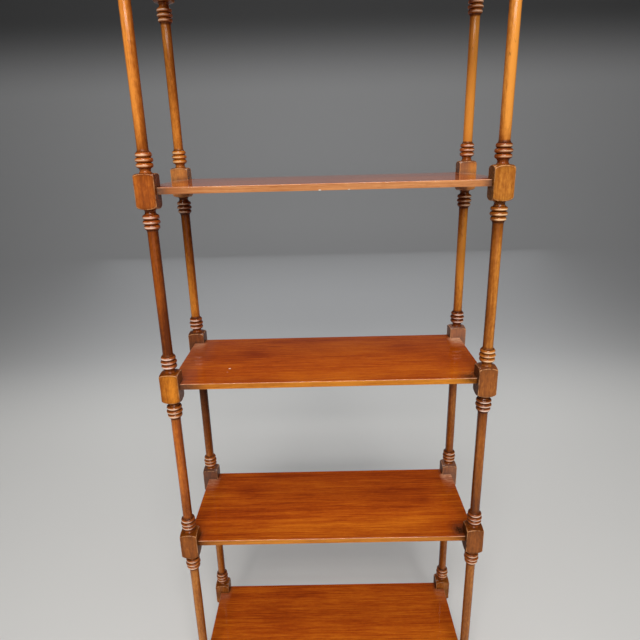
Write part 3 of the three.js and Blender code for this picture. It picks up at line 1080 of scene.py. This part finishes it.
def shelf_piece(level):
    node = f"shelf_{level}"
    z = height(level)
    seed = level * 10
    top, bottom = TOP, TOP - THICK
    e1, e2 = 1.2, 0.8
    step = top - TONGUE_STEP
    low = 1 - math.sqrt(1 - (1 - (TONGUE_STEP / e1)) ** 2)
    rings = [
        (LOW, e2 + 0.7, 0.7, bottom, False),
        (LOW, e2, 0, bottom, False),
        (LOW, e2 * 0.3, 0, bottom + e2 * 0.3, False),
        (LOW, 0, 0, bottom + e2, False),
        (LOW, 0, 0, bottom + e2 + 1.0, False),
        (LOW, 0, 0, 0.7, False),
        (LOW, 0, 0, top - e1 - 0.8, True),
        (LOW, 0, 0, top - e1, True),
        (LOW, e1 * low, 0, step, True),
        (HIGH, e1 * low, 0, step, True),
        (HIGH, e1 * 0.134, 0, top - e1 * 0.5, True),
        (HIGH, e1 * 0.45, 0, top - e1 * 0.165, True),
        (HIGH, e1, 0, top, True),
        (HIGH, e1 + 0.8, 0.8, top, True),
    ]
    verts, faces = [], []
    at = []  # for each ring, the vertex at each node of its path
    for c, inset, back, zr, upper in rings:
        ledge = at[-1] if at and rings[len(at) - 1][0] != c else {}
        at.append({})
        for p, point in zip(PATH[c], shelf_ring(c, inset, back, zr, seed, upper)):
            if p in ledge:  # the ring above the ledge runs along the one below it
                at[-1][p] = ledge[p]
            else:
                at[-1][p] = len(verts)
                verts.append(point)
    for k in range(len(rings) - 1):
        if rings[k][0] == rings[k + 1][0]:
            path = PATH[rings[k][0]]
            for m, p in enumerate(path):
                q = path[(m + 1) % len(path)]
                faces.append((at[k][p], at[k][q], at[k + 1][q], at[k + 1][p]))
            continue
        both = {**at[k + 1], **at[k]}
        for i in range(N_X + 6):
            for j in range(N_Y + 6):
                if in_outline(i, j, LOW) and not in_outline(i, j, HIGH):
                    faces.append((both[(i, j)], both[(i + 1, j)], both[(i + 1, j + 1)], both[(i, j + 1)]))
    # the two faces, as grids inside the first and the last ring
    for which in (0, len(rings) - 1):
        c, inset, back, zf, _ = rings[which]
        on_rim = at[which]
        xs, ys = shelf_lines(c, inset, back)
        index = {}

        def vert(i, j):
            if (i, j) in on_rim:
                return on_rim[(i, j)]
            if (i, j) not in index:
                dz = flatness(xs[i], ys[j], seed) if which else 0.0
                index[(i, j)] = len(verts)
                verts.append((xs[i], ys[j], zf + dz))
            return index[(i, j)]

        for i in range(N_X + 6):
            for j in range(N_Y + 6):
                if not in_outline(i, j, c):
                    continue
                quad = [vert(i, j), vert(i + 1, j), vert(i + 1, j + 1), vert(i, j + 1)]
                faces.append(tuple(quad if which else reversed(quad)))
    ob = new_object(node + "_fine", shift(verts, 0, 0, z), faces)
    holes = []
    for sx in (-1, 1):
        for sy in (-1, 1):
            xa, xb = sx * (NX - DOWEL_L / 2 - 0.3), sx * (NX + 1)
            v, f = rod_x(DOWEL_R + GAP, min(xa, xb), max(xa, xb), sy * (POST_Y + DOWEL_Y), z + DOWEL_Z)
            holes.append(new_object("cut_c", v, f))
    cut(ob, holes)
    shade(ob)
    co = coords(ob) * 1000 - np.array([0, 0, z])
    nn = slopes(ob)
    x, y, zz = co[:, 0], co[:, 1], co[:, 2]
    ax, ay = np.abs(x), np.abs(y)
    out = np.minimum(HY - ay, HX - ax)
    near = smooth01(-out, -1.3, -0.25)
    # the upper arris is painted pale, part wear and part painted highlight; the lower arris is paler with wear
    wear = near * smooth01(zz, top - 1.5, top - 0.35)
    wear = np.maximum(wear, 0.45 * near * smooth01(-zz, -(bottom + 0.9), -(bottom + 0.2)))
    rim = smooth01(-(HY - ay), -1.1, -0.45) * smooth01(-zz, -(top - 0.15), -(top - 0.9))
    endg = smooth01(-(HX - ax), -1.1, -0.45) * smooth01(-zz, -(top - 0.15), -(top - 0.9))
    # dirt and painted shade where the shelf goes into its blocks
    dx = np.maximum(0, POST_X - H - ax)
    dy = np.maximum(0, POST_Y - H - ay)
    d = np.hypot(dx, dy)
    # on the upper face most of it lies along the blocks; in front of the blocks it reaches further, as their painted
    # shade and painted reflection
    grime = 0.75 * np.exp(-d / 4.0) + 0.34 * np.exp(-d / 16.0)
    grime = np.maximum(grime, 0.7 * np.exp(-((d / np.where(x > 0, 15.0, 8.0)) ** 2)) * (y < 0))
    # on shelf 3 the upper face is less dark on the left; on shelves 3 and 2 a painted shade and reflection of the front
    # right block lies beside it
    if level == 3:
        grime *= np.where((x < 0) & (zz > 0), 0.6, 1.0)
        grime = np.maximum(grime, 1.2 * np.exp(-(((x - 300) / 27) ** 2) - (((y + 124) / 17) ** 2)) * (zz > 0))
    if level == 2:
        grime = np.maximum(grime, 1.35 * np.exp(-(((x - 300) / 18) ** 2) - (((y + 112) / 24) ** 2)) * (zz > 0))
    # painted reflection: the upper face is painted pale in front of the back blocks, and less dark there
    pale = {4: (1.2, 1.1), 3: (1.7, 0.62), 2: (1.0, 0.6)}.get(level, (0.2, 0.2))
    reach = 70.0 if level == 4 else 32.0
    foot = np.exp(-((np.maximum(0, POST_Y - H - y) / reach) ** 2)) * (y > 20 - reach) * smooth01(ax, 302, 309) * (zz > 0)
    foot = foot * smooth01(-y, -(POST_Y - H + 1.5), -(POST_Y - H + 0.2))
    wear = np.maximum(wear, np.where(x > 0, pale[0], pale[1]) * foot)
    grime = grime * (1 - 0.8 * foot)
    tone = np.full(len(x), 0.03 * (rnd(node, "tone") - 0.5))
    for cx, cy, hx, hy, k in CLOUDS.get(level, ()):
        tone += k * np.exp(-(((x - cx) / hx) ** 2) - (((y - cy) / hy) ** 2)) * (zz > 0)
    # painted light: the upper face is painted lighter towards the front
    tone += 0.10 * smooth01(-y, -60, 110) * (zz > 0) - 0.05 * (zz > 0)
    # the long edges darken towards the blocks with dirt and painted shade; they are also darker towards the left end,
    # and on shelf 3 lighter towards the right
    end = np.exp(-np.maximum(0, POST_X - H - ax) / 13.0)
    if level == 4:
        end = np.maximum(end, 0.9 * np.exp(-np.maximum(0, POST_X - H - ax) / np.where(x < 0, 26.0, 13.0)))
    lift = 0.12 * smooth01(x, 60, 200) if level == 3 else 0.0
    tone = np.where(rim > 0.5, 0.1 + lift - 0.5 * end - 0.18 * smooth01(-x, 150, 290), tone)
    smear = np.exp(-np.maximum(0, POST_X - H - ax) / np.where(x < 0, 25.0, 12.0))
    # painted reflection: a pale haze on shelves 3 and 4 near the blocks, and in front of the back blocks on shelf 4
    film = np.zeros(len(x))
    if level == 3:
        smear = np.where(x < 0, 0.98 * smooth01(-np.abs(POST_X - H + x), -66, -4), smear)
        film = 0.13 * smear * rim * (x < 0) + 0.09 * smooth01(-x, 262, 300) * (1 - rim) * (zz > 0)
    if level == 4:
        d_end = np.abs(POST_X - H - ax)
        smear = np.where(x < 0, 0.98 * smooth01(-d_end, -30, -2), 0.85 * smooth01(-d_end, -21, -1))
        film = 0.2 * smear * rim + 0.3 * foot
    grime = np.maximum(grime, 0.98 * smear * rim)
    g = co / 1000
    ox, oy, oz = (rnd(node, k) * 3.0 for k in "abc")
    grain = np.stack([g[:, 1] + ox, g[:, 2] + oy, g[:, 0] + oz], 1)
    write_attributes(
        ob, grain, wear=wear, crest=0.0, gold=0.0, grime=grime, tone=tone, ruddy=0.0, film=film, endg=endg,
        rim=rim, across=g[:, 1],
    )
    flecks = [
        ((cy / 1000 + ox, cz / 1000 + oy, cx / 1000 + oz), (hy / 1000, hz / 1000, hx / 1000), k)
        for cx, cy, cz, hx, hy, hz, k in FLECKS.get(level, ())
    ]
    mat = shelf_material(f"mahogany_shelf_{level}", JOINTS[level], FIGURE[level], EDGE.get(level, PLAIN_EDGE), flecks)
    adopt(ob, node, mat)
    return ob


for level in range(1, LEVELS + 1):
    shelf_piece(level)

# ---------------------------------------------------------------- fluted dowels inside the joints


def dowel_piece(level, corner, sx, sy):
    node = f"dowel_{level}_{corner}"
    x = sx * (POST_X - BLOCK / 2 + HOUSING + GAP / 2)
    y = sy * (POST_Y + DOWEL_Y)
    z = height(level) + DOWEL_Z
    n = 36
    thetas = [2 * math.pi * k / n for k in range(n)]
    flute = [DOWEL_R - 0.28 * (0.5 - 0.5 * math.cos(12 * t)) for t in thetas]
    h = DOWEL_L / 2
    rows = []
    for r_k, zz in ((0.80, -h), (0.93, -h + 0.5), (1.0, -h + 1.4), (1.0, 0.0), (1.0, h - 1.4), (0.93, h - 0.5), (0.80, h)):
        rows.append([(f * r_k, zz) for f in flute])
    verts, faces = revolve(rows, thetas)
    verts = [(c + x, b + y, -a + z) for a, b, c in verts]
    ob = new_object(node + "_fine", verts, faces)
    shade(ob, 50)
    co = coords(ob)
    grain = np.stack([co[:, 1] + rnd(node) * 2, co[:, 2], co[:, 0]], 1)
    write_attributes(ob, grain)
    adopt(ob, node, mat_beech)


for level in range(1, LEVELS + 1):
    for corner, sx, sy in CORNERS:
        dowel_piece(level, corner, sx, sy)

# ---------------------------------------------------------------- floor, backdrop, light


def sweep_material():
    """Pale floor that turns into a darker backdrop as it rises."""
    n = Nodes("sweep")
    tc = n.add("ShaderNodeTexCoord")
    sep = n.add("ShaderNodeSeparateXYZ")
    n.put(sep.inputs[0], tc.outputs["Object"])
    far = n.ramp(sep.outputs[1], 1.2, 3.2)
    colour = n.mix(far, (0.64, 0.64, 0.63, 1), (0.325, 0.332, 0.345, 1))
    near = n.ramp(sep.outputs[1], -2.2, -0.3)
    colour = n.mix(near, (0.26, 0.26, 0.256, 1), colour)
    away = n.math("MULTIPLY", n.ramp(sep.outputs[1], -5.0, -3.4, 1.0, 0.0), n.ramp(sep.outputs[2], 0.02, 0.6, 1.0, 0.0))
    colour = n.mix(away, colour, (0.08, 0.08, 0.079, 1))
    high = n.math("MULTIPLY", n.ramp(sep.outputs[2], 1.78, 2.35), n.ramp(sep.outputs[1], 0.5, 2.2))
    colour = n.mix(high, colour, (0.075, 0.077, 0.080, 1))
    p = n.add("ShaderNodeBsdfPrincipled")
    n.put(p.inputs["Base Color"], colour)
    p.inputs["Roughness"].default_value = 0.9
    p.inputs["Specular IOR Level"].default_value = 0.0
    out = n.add("ShaderNodeOutputMaterial")
    n.put(out.inputs[0], p.outputs[0])
    return n.mat


def sweep():
    """A plain floor that curves up all round: close behind the stand, far away in front and at the sides."""
    right, front, back, corner = 7.5, -8.0, 2.2, 1.5
    outline = []  # a rounded rectangle: corner centre, direction outwards, radius of the curve from floor to wall there
    for cx, cy, a0 in (
        (right - corner, back - corner, 0), (-right + corner, back - corner, 90),
        (-right + corner, front + corner, 180), (right - corner, front + corner, 270),
    ):
        for k in range(13):
            a = math.radians(a0 + 7.5 * k)
            dx, dy = math.cos(a), math.sin(a)
            outline.append((cx, cy, dx, dy, 2.5 - 1.4 * max(0.0, dy) ** 2))
    count = len(outline)
    steps = [math.radians(90 * k / 16) for k in range(17)]
    verts = []
    for cx, cy, dx, dy, r in outline:
        verts.append((cx + dx * (corner - 1.0), cy + dy * (corner - 1.0), 0.0))
    for a in steps:
        for cx, cy, dx, dy, r in outline:
            reach = corner + r * math.sin(a)
            verts.append((cx + dx * reach, cy + dy * reach, r - r * math.cos(a)))
    for cx, cy, dx, dy, r in outline:
        verts.append((cx + dx * (corner + r), cy + dy * (corner + r), 24.0))
    faces = [tuple(range(count))]
    for i in range(len(verts) // count - 1):
        for k in range(count):
            m = (k + 1) % count
            faces.append((i * count + k, (i + 1) * count + k, (i + 1) * count + m, i * count + m))
    me = bpy.data.meshes.new("sweep")
    me.from_pydata(verts, [], faces)
    me.polygons.foreach_set("use_smooth", [True] * len(me.polygons))
    me.update()
    ob = bpy.data.objects.new("sweep", me)
    bpy.context.scene.collection.objects.link(ob)
    me.materials.append(sweep_material())


sweep()


def area(name, loc, target, sx, sy, power, colour=(1, 1, 1), gloss=True):
    d = bpy.data.lights.new(name, "AREA")
    d.shape = "RECTANGLE"
    d.size, d.size_y, d.energy, d.color = sx, sy, power, colour
    o = bpy.data.objects.new(name, d)
    bpy.context.scene.collection.objects.link(o)
    o.location = loc
    o.rotation_mode = "QUATERNION"
    o.rotation_quaternion = (Vector(target) - Vector(loc)).to_track_quat("-Z", "Y")
    o.visible_camera = False
    o.visible_glossy = gloss
    return o


# a low card and two soft strips in front, a broad panel above them, and smaller ones over the stand and behind it
area("front_card", (0.0, -5.2, 0.60), (0, 0, 0.60), 6.0, 1.2, 9, (1.0, 0.985, 0.97))
area("front_low", (0.0, -3.6, 2.33), (0, 0, 1.1), 2.8, 0.14, 15, (1.0, 0.98, 0.96))
area("front_high", (0.0, -3.6, 3.02), (0, 0, 1.1), 2.8, 0.30, 33, (1.0, 0.975, 0.95))
area("key", (0.0, -2.9, 3.75), (0, 0, 1.1), 2.0, 0.8, 128, (1.0, 0.975, 0.94))
area("overhead", (0.0, -0.9, 3.2), (0, 0, 1.0), 2.2, 0.5, 16, (1.0, 0.975, 0.94))
area("behind", (0.0, 1.7, 3.6), (0, 0, 1.0), 2.4, 0.5, 24, (0.98, 0.99, 1.0))
area("back_fill", (0.0, 3.0, 1.5), (0, 0, 1.0), 3.6, 1.8, 40, (0.98, 0.99, 1.0), gloss=False)

world = bpy.data.worlds.new("world")
bpy.context.scene.world = world
world.use_nodes = True
world.node_tree.nodes["Background"].inputs[0].default_value = (0.96, 0.98, 1.0, 1)
world.node_tree.nodes["Background"].inputs[1].default_value = 0.04

vs = bpy.context.scene.view_settings
vs.view_transform = "Standard"
vs.look = "None"
vs.exposure = 0.0
